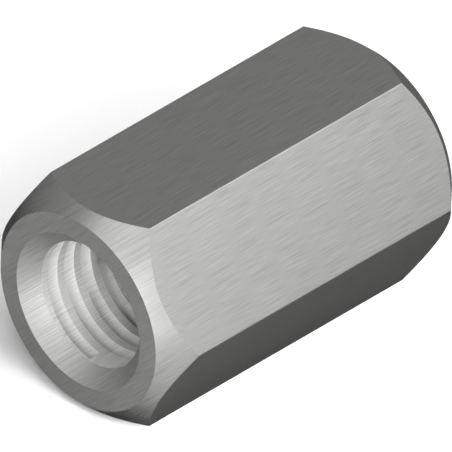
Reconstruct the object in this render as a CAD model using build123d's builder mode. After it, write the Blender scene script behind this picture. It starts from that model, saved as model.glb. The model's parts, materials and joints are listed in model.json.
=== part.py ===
# Hexagonal coupling nut, which joins two threaded rods end to end.
# It lies on one of its flats, with its bore along Y. The origin is the middle of the bore.
import os
from math import radians, sqrt, tan

from build123d import *

# Driving dimensions, in millimetres and degrees
across_flats = 23.81  # width of the hexagonal bar, 15/16 in
length = 41.28  # from end face to end face, 1 5/8 in
corner_radius = 0.15  # left on the bar's long edges by the drawing die
face_diameter = 21.59  # outside of the flat ring on each end
chamfer_angle = 46.3  # between a chamfer's cone and the end face
bore_diameter = 13.72  # drilled for the thread, so also across its crests
sink_diameter = 17.15  # mouth of each countersink
sink_angle = 90.0  # whole angle of each countersink's cone

# Worked out from the driving dimensions
corner_distance = across_flats / sqrt(3)
face_radius = face_diameter / 2
half_length = length / 2
chamfer_depth = (corner_distance - face_radius) * tan(radians(chamfer_angle))

with BuildPart() as coupling_nut:
    # Drawn hexagonal bar, with a flat above and a flat below
    with BuildSketch(Plane.XZ):
        RegularPolygon(radius=across_flats / 2, side_count=6, major_radius=False)
    extrude(amount=half_length, both=True)
    fillet(coupling_nut.edges().filter_by(Axis.Y), radius=corner_radius)

    # Turned outline: each chamfer is a cone, which cuts a curved edge into every flat
    with BuildSketch(Plane.XY):
        with BuildLine():
            Polyline(
                (0, -half_length),
                (face_radius, -half_length),
                (corner_distance, -half_length + chamfer_depth),
                (corner_distance, half_length - chamfer_depth),
                (face_radius, half_length),
                (0, half_length),
                close=True,
            )
        make_face()
    revolve(axis=Axis.Y, mode=Mode.INTERSECT)

    # Bore right through, countersunk from both end faces
    end_faces = coupling_nut.faces().filter_by(Axis.Y)
    with Locations(*[Plane(face) for face in end_faces]):
        CounterSinkHole(
            radius=bore_diameter / 2,
            counter_sink_radius=sink_diameter / 2,
            counter_sink_angle=sink_angle,
        )

coupling_nut.part.label = "coupling_nut"

os.makedirs("parts", exist_ok=True)
export_step(coupling_nut.part, "parts/coupling_nut.step")
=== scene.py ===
# Hexagonal coupling nut of brushed steel, threaded right through, which lies on one of its flats.
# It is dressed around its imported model, in metres: the bore runs along Y, through the origin.
import json
from math import atan2, cos, floor, hypot, pi, radians, sin, sqrt, tan

import bmesh
import bpy
from mathutils import Matrix, Vector


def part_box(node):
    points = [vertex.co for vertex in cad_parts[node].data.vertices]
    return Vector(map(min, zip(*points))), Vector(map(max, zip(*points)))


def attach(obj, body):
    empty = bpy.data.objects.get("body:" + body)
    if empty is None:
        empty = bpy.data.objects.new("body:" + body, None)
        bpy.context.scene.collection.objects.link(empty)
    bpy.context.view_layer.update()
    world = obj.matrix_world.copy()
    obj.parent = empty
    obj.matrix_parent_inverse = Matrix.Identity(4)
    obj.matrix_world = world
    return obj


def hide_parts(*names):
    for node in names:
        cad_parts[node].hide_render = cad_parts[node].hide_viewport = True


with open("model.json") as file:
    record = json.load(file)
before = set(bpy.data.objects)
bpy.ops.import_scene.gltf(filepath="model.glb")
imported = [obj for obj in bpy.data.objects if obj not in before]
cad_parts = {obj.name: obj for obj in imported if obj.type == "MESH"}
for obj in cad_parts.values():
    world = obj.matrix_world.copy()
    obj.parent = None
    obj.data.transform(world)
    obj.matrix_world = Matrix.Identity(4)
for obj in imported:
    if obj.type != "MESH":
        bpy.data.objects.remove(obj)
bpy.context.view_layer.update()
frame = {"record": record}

bl_info = {
    "name": "Coupling nut",
    "version": (1, 0, 0),
    "blender": (4, 5, 0),
    "location": "View3D > Sidebar > Coupling nut",
    "description": "Builds a threaded hexagonal coupling nut of brushed steel and its studio",
    "category": "Add Mesh",
}

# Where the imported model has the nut, and what its record says of its thread
NODE = "coupling_nut"
BODY = "root"
low_corner, high_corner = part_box(NODE)
bore_mount = next(mount for mount in frame["record"]["mounts"] if mount["kind"] == "threaded_hole")

# The shape, and how its solids are cut and joined
MM = 0.001
AXIS = Vector((0, 1, 0))  # the bore's direction
SIDE_ANGLE = radians(60)  # what one side of the hexagon takes of a whole turn
STEPS_PER_TURN = 180  # steps of 2 degrees, whose chords stay within about 0.002 mm of the circle
EDGE_STEPS = 4  # across the rounding of each long edge
TOOL_REACH = 1.0 * MM  # how far a cutting tool runs on past the surface that it cuts
TAP_OVERLAP = 0.3 * MM  # how much nearer the axis than the bore's wall the tap's section starts
TURNED_SEAM = 0.001 * MM  # points of a turned solid that lie nearer together are one
CUT_SEAM = 0.0001 * MM  # and so are points of the finished nut nearer together than this
WALL_MARGIN = 0.01 * MM  # what lies deeper in the bore's wall than this belongs to the thread
SHARP_ANGLE = radians(25)  # an edge is sharp where the surface turns by more than this
ALONG_BORE = 0.999  # a direction whose cosine with the bore is larger counts as along it
ACROSS_BORE = 0.001  # and one whose cosine is smaller counts as square to it

# The four finishes of the nut's surface, by the number of their material; those in the hole are painted
# lighter than the flats, as painted light
BRUSHED, COUNTERSUNK, DRILLED, TAPPED = range(4)

# The brush marks' map, in millimetres: each flat and each end has a strip of its own
STRIP_HEIGHT = 40
END_STRIP = 5  # the far end's strip, and with a minus the near end's, clear of those of the flats

# The values between which most of the brush marks' noise lies
NOISE_LOW = 0.3
NOISE_HIGH = 0.7

# The studio
FLOOR_RADIUS = 1500 * MM
PAPER_FADE = 3  # how many paper radii away the floor has become plain white
BOX_WIDTH = 110 * MM
BOX_DISTANCE = 140 * MM
SPOT_ANGLE = radians(7)  # the whole angle of a beam
SPOT_RADIUS = 6 * MM  # of the lamp itself, which softens its shadows
SPOT_DISTANCE = 120 * MM
CAMERA_DISTANCE = 120 * MM
# How far the camera stands to the left and up, which frames the nut as in the photograph
CAMERA_LEFT = 0.0384 * MM
CAMERA_UP = 0.0147 * MM
NEAREST_SHOWN = 1 * MM
FARTHEST_SHOWN = 10000 * MM


def linear(hex_colour):
    """Scene-linear RGB of an sRGB hex colour such as #8F8E8C."""
    channels = [int(hex_colour[i : i + 2], 16) / 255 for i in (1, 3, 5)]
    return tuple(c / 12.92 if c <= 0.04045 else ((c + 0.055) / 1.055) ** 2.4 for c in channels)


class NutSizes(bpy.types.PropertyGroup):
    """Sizes of the nut and its thread"""

    across_flats: bpy.props.FloatProperty(
        name="Across flats",
        description="Width of the hexagonal bar between two opposite flats",
        default=high_corner.z - low_corner.z,
        unit="LENGTH",
    )
    length: bpy.props.FloatProperty(
        name="Length",
        description="From end face to end face",
        default=high_corner.y - low_corner.y,
        unit="LENGTH",
    )
    corner_radius: bpy.props.FloatProperty(
        name="Corner radius",
        description="Rounding that the drawing die leaves on the long edges",
        default=0.15 * MM,
        unit="LENGTH",
    )
    face_diameter: bpy.props.FloatProperty(
        name="Face diameter",
        description="Outside of the flat ring on each end",
        default=21.59 * MM,
        unit="LENGTH",
    )
    chamfer_angle: bpy.props.FloatProperty(
        name="Chamfer angle",
        description="Between a chamfer's cone and the end face",
        default=radians(46.3),
        subtype="ANGLE",
    )
    bore_diameter: bpy.props.FloatProperty(
        name="Bore diameter",
        description="Across the crests of the thread",
        default=2 * bore_mount["dims"]["r_mm"] * MM,
        unit="LENGTH",
    )
    sink_diameter: bpy.props.FloatProperty(
        name="Countersink diameter",
        description="Mouth of the countersink in each end",
        default=17.15 * MM,
        unit="LENGTH",
    )
    sink_angle: bpy.props.FloatProperty(
        name="Countersink angle",
        description="Whole angle of a countersink's cone",
        default=radians(90),
        subtype="ANGLE",
    )
    pitch: bpy.props.FloatProperty(
        name="Pitch",
        description="Distance along the bore from one thread to the next, eleven to the inch",
        default=25.4 / 11 * MM,
        unit="LENGTH",
    )
    groove_width: bpy.props.FloatProperty(
        name="Groove width",
        description="Mouth of the thread's groove at the crests",
        default=1.387 * MM,
        unit="LENGTH",
    )
    groove_depth: bpy.props.FloatProperty(
        name="Groove depth",
        description="From the crests to the flat at the bottom of the groove",
        default=1.078 * MM,
        unit="LENGTH",
    )
    thread_angle: bpy.props.FloatProperty(
        name="Thread angle",
        description="Whole angle between the two flanks of the groove",
        default=radians(60),
        subtype="ANGLE",
    )
    start_depth: bpy.props.FloatProperty(
        name="Thread start",
        description="From each end face to the middle of the groove where it starts",
        default=2.69 * MM,
        unit="LENGTH",
    )
    start_angle: bpy.props.FloatProperty(
        name="Thread start angle",
        description="Where round the bore the groove starts, counted from +X towards +Z",
        default=radians(266.7),
        subtype="ANGLE",
    )


class SteelLook(bpy.types.PropertyGroup):
    """Colours and brush marks of the steel"""

    brushed_colour: bpy.props.FloatVectorProperty(
        name="Brushed steel",
        description="Reflected colour of the flats, end rings and chamfers",
        default=linear("#727271"),
        subtype="COLOR",
        min=0,
        max=1,
    )
    # Painted light: the countersinks are painted a little lighter than the flats' steel, to lift the cone
    # where the lamps leave it in shade
    countersunk_painted_light_colour: bpy.props.FloatVectorProperty(
        name="Countersunk steel",
        description="Reflected colour of the two countersinks",
        default=linear("#80807E"),
        subtype="COLOR",
        min=0,
        max=1,
    )
    # Painted light: the bore's wall is painted much lighter than the flats' steel, to stand in for light that
    # the hole's shade keeps out
    drilled_painted_light_colour: bpy.props.FloatVectorProperty(
        name="Drilled steel",
        description="Reflected colour of the bore's wall, which is left as the crests of the thread",
        default=linear("#CECECC"),
        subtype="COLOR",
        min=0,
        max=1,
    )
    # Painted light: the groove is painted much lighter than the flats' steel, to stand in for light that the
    # hole's shade keeps out
    tapped_painted_light_colour: bpy.props.FloatVectorProperty(
        name="Tapped steel",
        description="Reflected colour of the thread's groove",
        default=linear("#B8B8B6"),
        subtype="COLOR",
        min=0,
        max=1,
    )
    # Real brush marks are about 0.01 mm wide, too fine to show, so they are drawn wide enough to show
    stroke_width: bpy.props.FloatProperty(
        name="Stroke width",
        description="Width of one brush mark",
        default=0.045 * MM,
        precision=6,
        unit="LENGTH",
    )
    stroke_length: bpy.props.FloatProperty(
        name="Stroke length",
        description="Length of one brush mark",
        default=4.5 * MM,
        unit="LENGTH",
    )
    stroke_depth: bpy.props.FloatProperty(
        name="Stroke depth",
        description="Depth of one brush mark",
        default=0.002 * MM,
        precision=6,
        unit="LENGTH",
    )
    stroke_shade: bpy.props.FloatProperty(
        name="Stroke shade",
        description="How much darker or lighter than the steel a brush mark is, as a share",
        default=0.2,
        subtype="FACTOR",
        min=0,
        max=1,
    )
    stroke_sheen: bpy.props.FloatProperty(
        name="Stroke sheen",
        description="How much duller or shinier than the steel a brush mark is, as roughness",
        default=0.03,
        subtype="FACTOR",
        min=0,
        max=1,
    )


class StudioLook(bpy.types.PropertyGroup):
    """Floor and camera of the studio"""

    floor_colour: bpy.props.FloatVectorProperty(
        name="Floor",
        description="Colour of the paper that the nut lies on",
        default=linear("#FDFDFD"),
        subtype="COLOR",
        min=0,
        max=1,
    )
    paper_radius: bpy.props.FloatProperty(
        name="Paper radius",
        description="How far round the nut the paper shows its shadow",
        default=60 * MM,
        unit="LENGTH",
    )
    azimuth: bpy.props.FloatProperty(
        name="Azimuth",
        description="Camera's direction round the nut, counted from its near end towards +X",
        default=radians(45),
        subtype="ANGLE",
    )
    elevation: bpy.props.FloatProperty(
        name="Elevation",
        description="Camera's height over the horizon, that of an isometric view",
        default=radians(35.264),
        subtype="ANGLE",
    )
    view_width: bpy.props.FloatProperty(
        name="View width",
        description="Width of what the camera shows",
        default=44.517 * MM,
        unit="LENGTH",
    )


def corner_distance(sizes):
    """From the axis to a corner of the hexagon, before the corners are rounded."""
    return sizes.across_flats / sqrt(3)


def sink_depth(sizes):
    """From an end face to where its countersink runs out in the bore."""
    return (sizes.sink_diameter - sizes.bore_diameter) / 2 / tan(sizes.sink_angle / 2)


def as_object(name, solid):
    """Object at the origin that holds the solid's mesh."""
    mesh = bpy.data.meshes.new(name)
    solid.to_mesh(mesh)
    solid.free()
    piece = bpy.data.objects.new(name, mesh)
    bpy.context.scene.collection.objects.link(piece)
    return piece


def turned(near_half, first_angle):
    """Solid turned about the bore's axis from (radius, place) pairs, which its far half mirrors."""
    far_half = [(radius, -place) for radius, place in reversed(near_half)]
    solid = bmesh.new()
    outwards = Vector((cos(first_angle), 0, sin(first_angle)))
    points = [solid.verts.new(outwards * radius + AXIS * place) for radius, place in near_half + far_half]
    edges = [solid.edges.new(pair) for pair in zip(points, points[1:])]
    bmesh.ops.spin(
        solid,
        geom=points + edges,
        cent=(0, 0, 0),
        axis=AXIS,
        angle=2 * pi,
        steps=STEPS_PER_TURN,
        use_merge=True,
    )
    bmesh.ops.remove_doubles(solid, verts=solid.verts, dist=TURNED_SEAM)
    bmesh.ops.recalc_face_normals(solid, faces=solid.faces)
    return solid


def hexagonal_bar(sizes):
    """Drawn bar with a flat above and a flat below, longer than the nut by the tools' reach."""
    solid = bmesh.new()
    bmesh.ops.create_cone(
        solid,
        cap_ends=True,
        segments=6,
        radius1=corner_distance(sizes),
        radius2=corner_distance(sizes),
        depth=sizes.length + 2 * TOOL_REACH,
        matrix=Matrix.Rotation(radians(90), 4, "X") @ Matrix.Rotation(SIDE_ANGLE / 2, 4, "Z"),
    )
    long_edges = []
    for edge in solid.edges:
        start, end = edge.verts
        if abs((end.co - start.co).normalized().dot(AXIS)) > ALONG_BORE:
            long_edges.append(edge)

    # The offset is how far from a corner its rounding meets the two flats
    bmesh.ops.bevel(
        solid,
        geom=long_edges,
        offset=sizes.corner_radius * tan(SIDE_ANGLE / 2),
        offset_type="OFFSET",
        affect="EDGES",
        segments=EDGE_STEPS,
        profile=0.5,
        material=-1,
    )
    return solid


def turned_outline(sizes):
    """Flat end rings and the chamfers' cones, which run out just over the bar's corners."""
    face_radius = sizes.face_diameter / 2
    half_length = sizes.length / 2
    cone_depth = (corner_distance(sizes) - face_radius) * tan(sizes.chamfer_angle)
    near_half = [
        (0, -half_length),
        (face_radius, -half_length),
        (corner_distance(sizes), cone_depth - half_length),
    ]
    return turned(near_half, sizes.start_angle)


def bore_tool(sizes):
    """What the drill and the two countersinks take away."""
    half_length = sizes.length / 2
    reach_radius = sizes.sink_diameter / 2 + TOOL_REACH * tan(sizes.sink_angle / 2)
    near_half = [
        (0, -half_length - TOOL_REACH),
        (reach_radius, -half_length - TOOL_REACH),
        (sizes.bore_diameter / 2, sink_depth(sizes) - half_length),
    ]
    return turned(near_half, sizes.start_angle)


def thread_tool(sizes):
    """What the tap takes away: a right-handed groove with two flanks and a narrow flat at its bottom."""
    bore_radius = sizes.bore_diameter / 2
    inner_radius = bore_radius - TAP_OVERLAP
    outer_radius = bore_radius + sizes.groove_depth
    flank_slope = tan(sizes.thread_angle / 2)
    inner_half = sizes.groove_width / 2 + (bore_radius - inner_radius) * flank_slope
    outer_half = sizes.groove_width / 2 - sizes.groove_depth * flank_slope
    middle = sizes.start_depth - sizes.length / 2
    corners = [
        (inner_radius, middle - inner_half),
        (outer_radius, middle - outer_half),
        (outer_radius, middle + outer_half),
        (inner_radius, middle + inner_half),
    ]
    section = bmesh.new()
    outwards = Vector((cos(sizes.start_angle), 0, sin(sizes.start_angle)))
    points = [section.verts.new(outwards * radius + AXIS * place) for radius, place in corners]
    for pair in zip(points, points[1:] + points[:1]):
        section.edges.new(pair)
    groove = as_object("groove", section)

    # The groove runs on until it is as far from the far end as it starts from the near one
    steps = round((sizes.length - 2 * sizes.start_depth) / sizes.pitch * STEPS_PER_TURN)
    helix = groove.modifiers.new("Helix", "SCREW")
    helix.axis = "Y"
    helix.angle = 2 * pi * steps / STEPS_PER_TURN
    helix.screw_offset = sizes.pitch * steps / STEPS_PER_TURN
    helix.steps = helix.render_steps = steps
    solid = bmesh.new()
    solid.from_object(groove, bpy.context.evaluated_depsgraph_get())
    bpy.data.meshes.remove(groove.data)
    bmesh.ops.holes_fill(solid, edges=[edge for edge in solid.edges if edge.is_boundary], sides=4)
    bmesh.ops.recalc_face_normals(solid, faces=solid.faces)
    return solid


def machined(name, blank, cuts):
    """Mesh of the blank after the cuts, each a Boolean operation and the solid that it uses."""
    work = as_object(name, blank)
    tools = []
    for operation, solid in cuts:
        tool = as_object(name + "_tool", solid)
        tools.append(tool)
        step = work.modifiers.new(operation.title(), "BOOLEAN")
        step.operation = operation
        step.solver = "MANIFOLD"
        step.object = tool
    finished = bpy.data.meshes.new_from_object(work.evaluated_get(bpy.context.evaluated_depsgraph_get()))
    for used in [work, *tools]:
        bpy.data.meshes.remove(used.data)
    return finished


def finish_of(face, sizes):
    """Which of the four finishes a face has, by its place: outside, or one of those in the hole."""
    middle = face.calc_center_median()
    radius = hypot(middle.x, middle.z)
    if radius > sizes.sink_diameter / 2:
        return BRUSHED
    if abs(middle.y) > sizes.length / 2 - sink_depth(sizes):
        return COUNTERSUNK
    return DRILLED if radius < sizes.bore_diameter / 2 + WALL_MARGIN else TAPPED


def dress_surfaces(solid, sizes):
    """Gives each face its finish and shading, and lays the brush marks' map, in millimetres."""
    grain = solid.loops.layers.uv.new("grain")
    for edge in solid.edges:
        edge.smooth = edge.calc_face_angle(0) < SHARP_ANGLE
    for face in solid.faces:
        face.material_index = finish_of(face, sizes)
        across = Vector((-face.normal.z, 0, face.normal.x))
        is_end = abs(face.normal.y) > ALONG_BORE
        is_flat = face.material_index == BRUSHED and abs(face.normal.y) < ACROSS_BORE
        face.smooth = not (is_end or is_flat)
        flat_strip = floor(atan2(face.normal.z, face.normal.x) / SIDE_ANGLE) * STRIP_HEIGHT
        end_strip = (END_STRIP if face.normal.y > 0 else -END_STRIP) * STRIP_HEIGHT

        # On the flats the marks run along the bore, and elsewhere in planes parallel to that of X = Z
        for loop in face.loops:
            place = loop.vert.co / MM
            beside = (place.x - place.z) / sqrt(2)
            outwards = (place.x + place.z) / sqrt(2)
            if is_flat:
                loop[grain].uv = (place.y, place.dot(across) + flat_strip)
            elif face.material_index in (BRUSHED, COUNTERSUNK):
                loop[grain].uv = (outwards, beside + end_strip)
            else:
                loop[grain].uv = (outwards + place.y, beside)


def add_node(tree, kind, settings=None, inputs=None):
    """New node of a kind, with its settings, and with its inputs set to a value or linked to an output."""
    node = tree.nodes.new(kind)
    for name, value in (settings or {}).items():
        setattr(node, name, value)
    for name, value in (inputs or {}).items():
        if isinstance(value, bpy.types.NodeSocket):
            tree.links.new(value, node.inputs[name])
        else:
            node.inputs[name].default_value = value
    return node


def marked_steel(name, colour, roughness, edge_tint, look):
    """Bare steel with fine parallel marks. A low edge tint keeps it dark where it is seen edge-on."""
    material = bpy.data.materials.new(name)
    material.use_nodes = True
    tree = material.node_tree
    tree.nodes.clear()
    grain = add_node(tree, "ShaderNodeUVMap", {"uv_map": "grain"})
    scaled = add_node(
        tree,
        "ShaderNodeMapping",
        inputs={"Vector": grain.outputs["UV"], "Scale": (MM / look.stroke_length, MM / look.stroke_width, 1)},
    )
    strokes = add_node(
        tree,
        "ShaderNodeTexNoise",
        {"noise_dimensions": "2D"},
        {"Vector": scaled.outputs["Vector"], "Scale": 1.0, "Detail": 1.0, "Roughness": 0.9},
    )
    shade = add_node(
        tree,
        "ShaderNodeMapRange",
        inputs={
            "Value": strokes.outputs["Fac"],
            "From Min": NOISE_LOW,
            "From Max": NOISE_HIGH,
            "To Min": 1 - look.stroke_shade,
            "To Max": 1 + look.stroke_shade,
        },
    )
    tint = add_node(
        tree,
        "ShaderNodeVectorMath",
        {"operation": "SCALE"},
        {0: tuple(colour), "Scale": shade.outputs["Result"]},
    )
    rough = add_node(
        tree,
        "ShaderNodeMapRange",
        inputs={
            "Value": strokes.outputs["Fac"],
            "From Min": NOISE_LOW,
            "From Max": NOISE_HIGH,
            "To Min": roughness + look.stroke_sheen,
            "To Max": roughness - look.stroke_sheen,
        },
    )
    relief = add_node(
        tree,
        "ShaderNodeBump",
        inputs={"Strength": 1.0, "Distance": look.stroke_depth, "Height": strokes.outputs["Fac"]},
    )
    shader = add_node(
        tree,
        "ShaderNodeBsdfPrincipled",
        inputs={
            "Base Color": tint.outputs["Vector"],
            "Metallic": 1.0,
            "Roughness": rough.outputs["Result"],
            "Specular Tint": (edge_tint, edge_tint, edge_tint, 1),
            "Normal": relief.outputs["Normal"],
        },
    )
    add_node(tree, "ShaderNodeOutputMaterial", inputs={"Surface": shader.outputs["BSDF"]})
    return material


def nut_steels(look):
    """The steel in its four finishes, in the order of their numbers."""
    return [
        # Drawn bar, brushed one way: a broad, quiet sheen
        marked_steel("brushed_steel", look.brushed_colour, roughness=0.4, edge_tint=0.0, look=look),
        # Cut by the countersink: duller, with a soft glow where it is seen along the cone, and painted a
        # little lighter than the flats, as painted light
        marked_steel("countersunk_steel_painted_light", look.countersunk_painted_light_colour, roughness=0.55, edge_tint=0.2, look=look),
        # Freshly drilled and matt; painted much lighter than the flats, as painted light, so that the hole is
        # lit all round
        marked_steel("drilled_steel_painted_light", look.drilled_painted_light_colour, roughness=0.6, edge_tint=0.0, look=look),
        # Cut by the tap: as matt as the bore, and a little darker; painted much lighter than the flats, as
        # painted light
        marked_steel("tapped_steel_painted_light", look.tapped_painted_light_colour, roughness=0.6, edge_tint=0.0, look=look),
    ]


class MESH_OT_coupling_nut_add(bpy.types.Operator):
    """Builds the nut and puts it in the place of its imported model"""

    bl_idname = "mesh.coupling_nut_add"
    bl_label = "Coupling nut"
    bl_options = {"REGISTER", "UNDO"}

    def execute(self, context):
        sizes = context.scene.nut_sizes
        cuts = [
            ("INTERSECT", turned_outline(sizes)),
            ("DIFFERENCE", bore_tool(sizes)),
            ("DIFFERENCE", thread_tool(sizes)),
        ]
        mesh = machined("threaded_coupling_nut", hexagonal_bar(sizes), cuts)
        solid = bmesh.new()
        solid.from_mesh(mesh)
        bpy.data.meshes.remove(mesh)
        bmesh.ops.remove_doubles(solid, verts=solid.verts, dist=CUT_SEAM)
        bmesh.ops.recalc_face_normals(solid, faces=solid.faces)
        if not all(edge.is_manifold for edge in solid.edges):
            raise RuntimeError("the nut's mesh isn't closed")
        dress_surfaces(solid, sizes)
        nut = as_object("threaded_coupling_nut", solid)
        for steel in nut_steels(context.scene.steel_look):
            nut.data.materials.append(steel)
        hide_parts(NODE)
        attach(nut, BODY)
        return {"FINISHED"}


def add_seen_test(tree):
    """1 for what the camera sees, also mirrored or through glass, and 0 for the light on a matt surface."""
    path = add_node(tree, "ShaderNodeLightPath")
    direct = add_node(
        tree,
        "ShaderNodeMath",
        {"operation": "MAXIMUM"},
        {0: path.outputs["Is Camera Ray"], 1: path.outputs["Is Glossy Ray"]},
    )
    seen = add_node(
        tree,
        "ShaderNodeMath",
        {"operation": "MAXIMUM"},
        {0: direct.outputs["Value"], 1: path.outputs["Is Transmission Ray"]},
    )
    return seen.outputs["Value"]


def studio_paper(look):
    """Matt white paper: keeps the nut's soft shadow, and is plain white further out."""
    material = bpy.data.materials.new("matt_paper")
    material.use_nodes = True
    material.cycles.emission_sampling = "NONE"
    tree = material.node_tree
    tree.nodes.clear()
    place = add_node(tree, "ShaderNodeTexCoord")
    distance = add_node(tree, "ShaderNodeVectorMath", {"operation": "LENGTH"}, {0: place.outputs["Object"]})
    far = add_node(
        tree,
        "ShaderNodeMapRange",
        {"interpolation_type": "SMOOTHSTEP"},
        {
            "Value": distance.outputs["Value"],
            "From Min": look.paper_radius,
            "From Max": PAPER_FADE * look.paper_radius,
        },
    )
    share = add_node(
        tree,
        "ShaderNodeMath",
        {"operation": "MULTIPLY"},
        {0: far.outputs["Result"], 1: add_seen_test(tree)},
    )
    paper = add_node(tree, "ShaderNodeBsdfDiffuse", inputs={"Color": (*look.floor_colour, 1)})
    white = add_node(tree, "ShaderNodeEmission", inputs={"Color": (1, 1, 1, 1), "Strength": 1.0})
    surface = add_node(
        tree,
        "ShaderNodeMixShader",
        inputs={0: share.outputs["Value"], 1: paper.outputs["BSDF"], 2: white.outputs["Emission"]},
    )
    add_node(tree, "ShaderNodeOutputMaterial", inputs={"Surface": surface.outputs["Shader"]})
    return material


def add_floor(look):
    """Round sheet of paper, level with the nut's lower flat."""
    sheet = bmesh.new()
    bmesh.ops.create_circle(
        sheet,
        cap_ends=True,
        segments=64,
        radius=FLOOR_RADIUS,
        matrix=Matrix.Translation((0, 0, low_corner.z)),
    )
    paper = as_object("studio_floor", sheet)
    paper.data.materials.append(studio_paper(look))


def add_sky():
    """White all around, which is seen and reflected but gives the paper no light."""
    world = bpy.data.worlds.new("studio")
    bpy.context.scene.world = world
    world.use_nodes = True
    tree = world.node_tree
    tree.nodes.clear()
    unlit = add_node(tree, "ShaderNodeBackground", inputs={"Color": (0, 0, 0, 1)})
    white = add_node(tree, "ShaderNodeBackground", inputs={"Color": (1, 1, 1, 1)})
    both = add_node(
        tree,
        "ShaderNodeMixShader",
        inputs={0: add_seen_test(tree), 1: unlit.outputs["Background"], 2: white.outputs["Background"]},
    )
    add_node(tree, "ShaderNodeOutputWorld", inputs={"Surface": both.outputs["Shader"]})


def direction(azimuth, elevation):
    """Towards a place round the nut, its azimuth counted from the near end towards +X."""
    return Vector((sin(azimuth) * cos(elevation), -cos(azimuth) * cos(elevation), sin(elevation)))


def place_lamp(name, data, away, target, distance):
    """Lamp that shines at its target from that direction and distance."""
    lamp = bpy.data.objects.new(name, data)
    lamp.location = target + away * distance
    lamp.rotation_euler = away.to_track_quat("Z", "Y").to_euler()
    bpy.context.scene.collection.objects.link(lamp)
    return lamp


def add_window(name, azimuth, elevation, angle, strength):
    """Broad light from far away, for which only its direction counts."""
    data = bpy.data.lights.new(name, "SUN")
    data.angle = angle
    data.energy = strength
    place_lamp(name, data, direction(azimuth, elevation), target=Vector(), distance=0)


def add_softbox(name, azimuth, elevation, end, brightness):
    """Square softbox that is as bright as that many times white, aimed at one end of the axis."""
    data = bpy.data.lights.new(name, "AREA")
    data.shape = "SQUARE"
    data.size = BOX_WIDTH
    data.energy = brightness * pi * BOX_WIDTH**2
    lamp = place_lamp(name, data, direction(azimuth, elevation), AXIS * end, BOX_DISTANCE)
    lamp.visible_camera = False


def add_bore_spot(name, azimuth, elevation, across, up, power):
    """Narrow soft beam, aimed across and up from the middle of the bore's near mouth."""
    data = bpy.data.lights.new(name, "SPOT")
    data.energy = power
    data.spot_size = SPOT_ANGLE
    data.spot_blend = 1.0
    data.shadow_soft_size = SPOT_RADIUS
    target = Vector((across, low_corner.y, up))
    place_lamp(name, data, direction(azimuth, elevation), target, SPOT_DISTANCE)


def add_lamps():
    """A window behind the nut, softboxes round it and two beams into the bore, by their directions."""
    near_end = low_corner.y
    far_end = high_corner.y
    add_window("back_window", radians(165), radians(28), angle=radians(36), strength=3.0)
    add_softbox("back_box", radians(126), radians(35), near_end, brightness=2.82)
    add_softbox("front_box", 0, radians(50), near_end, brightness=2.85)
    add_softbox("side_box", radians(60), radians(30), far_end, brightness=9.0)
    add_bore_spot("level_bore_spot", radians(60), 0, across=3 * MM, up=0, power=1.0)
    add_bore_spot("high_bore_spot", radians(50), radians(30), across=4 * MM, up=3.5 * MM, power=0.75)


def add_camera(look):
    """Camera without perspective, in the photograph's isometric direction."""
    data = bpy.data.cameras.new("camera")
    data.type = "ORTHO"
    data.ortho_scale = look.view_width
    data.clip_start = NEAREST_SHOWN
    data.clip_end = FARTHEST_SHOWN
    back = direction(look.azimuth, look.elevation)
    camera = bpy.data.objects.new("camera", data)
    camera.rotation_euler = back.to_track_quat("Z", "Y").to_euler()
    right = Vector((cos(look.azimuth), sin(look.azimuth), 0))
    up = back.cross(right)
    camera.location = back * CAMERA_DISTANCE - right * CAMERA_LEFT + up * CAMERA_UP
    bpy.context.scene.collection.objects.link(camera)
    bpy.context.scene.camera = camera


class SCENE_OT_nut_studio_add(bpy.types.Operator):
    """Builds the floor, the light and the camera"""

    bl_idname = "scene.nut_studio_add"
    bl_label = "Studio"
    bl_options = {"REGISTER", "UNDO"}

    def execute(self, context):
        look = context.scene.studio_look
        add_floor(look)
        add_sky()
        add_lamps()
        add_camera(look)
        context.scene.view_settings.view_transform = "Standard"
        return {"FINISHED"}


class VIEW3D_PT_coupling_nut(bpy.types.Panel):
    """Lists the nut and its studio"""

    bl_label = "Coupling nut"
    bl_space_type = "VIEW_3D"
    bl_region_type = "UI"
    bl_category = "Coupling nut"

    def draw(self, context):
        for operator in (MESH_OT_coupling_nut_add, SCENE_OT_nut_studio_add):
            self.layout.operator(operator.bl_idname)
        for group in (context.scene.nut_sizes, context.scene.steel_look, context.scene.studio_look):
            for name in group.__annotations__:
                self.layout.prop(group, name)


CLASSES = (
    NutSizes,
    SteelLook,
    StudioLook,
    MESH_OT_coupling_nut_add,
    SCENE_OT_nut_studio_add,
    VIEW3D_PT_coupling_nut,
)


def register():
    """Adds the classes, and the scene's own copy of each group of sizes and looks."""
    for each in CLASSES:
        bpy.utils.register_class(each)
    bpy.types.Scene.nut_sizes = bpy.props.PointerProperty(type=NutSizes)
    bpy.types.Scene.steel_look = bpy.props.PointerProperty(type=SteelLook)
    bpy.types.Scene.studio_look = bpy.props.PointerProperty(type=StudioLook)


def unregister():
    """Takes away what register adds."""
    del bpy.types.Scene.studio_look
    del bpy.types.Scene.steel_look
    del bpy.types.Scene.nut_sizes
    for each in reversed(CLASSES):
        bpy.utils.unregister_class(each)


def main():
    """Builds the nut and its studio."""
    register()
    bpy.ops.mesh.coupling_nut_add()
    bpy.ops.scene.nut_studio_add()


if __name__ == "__main__":
    main()
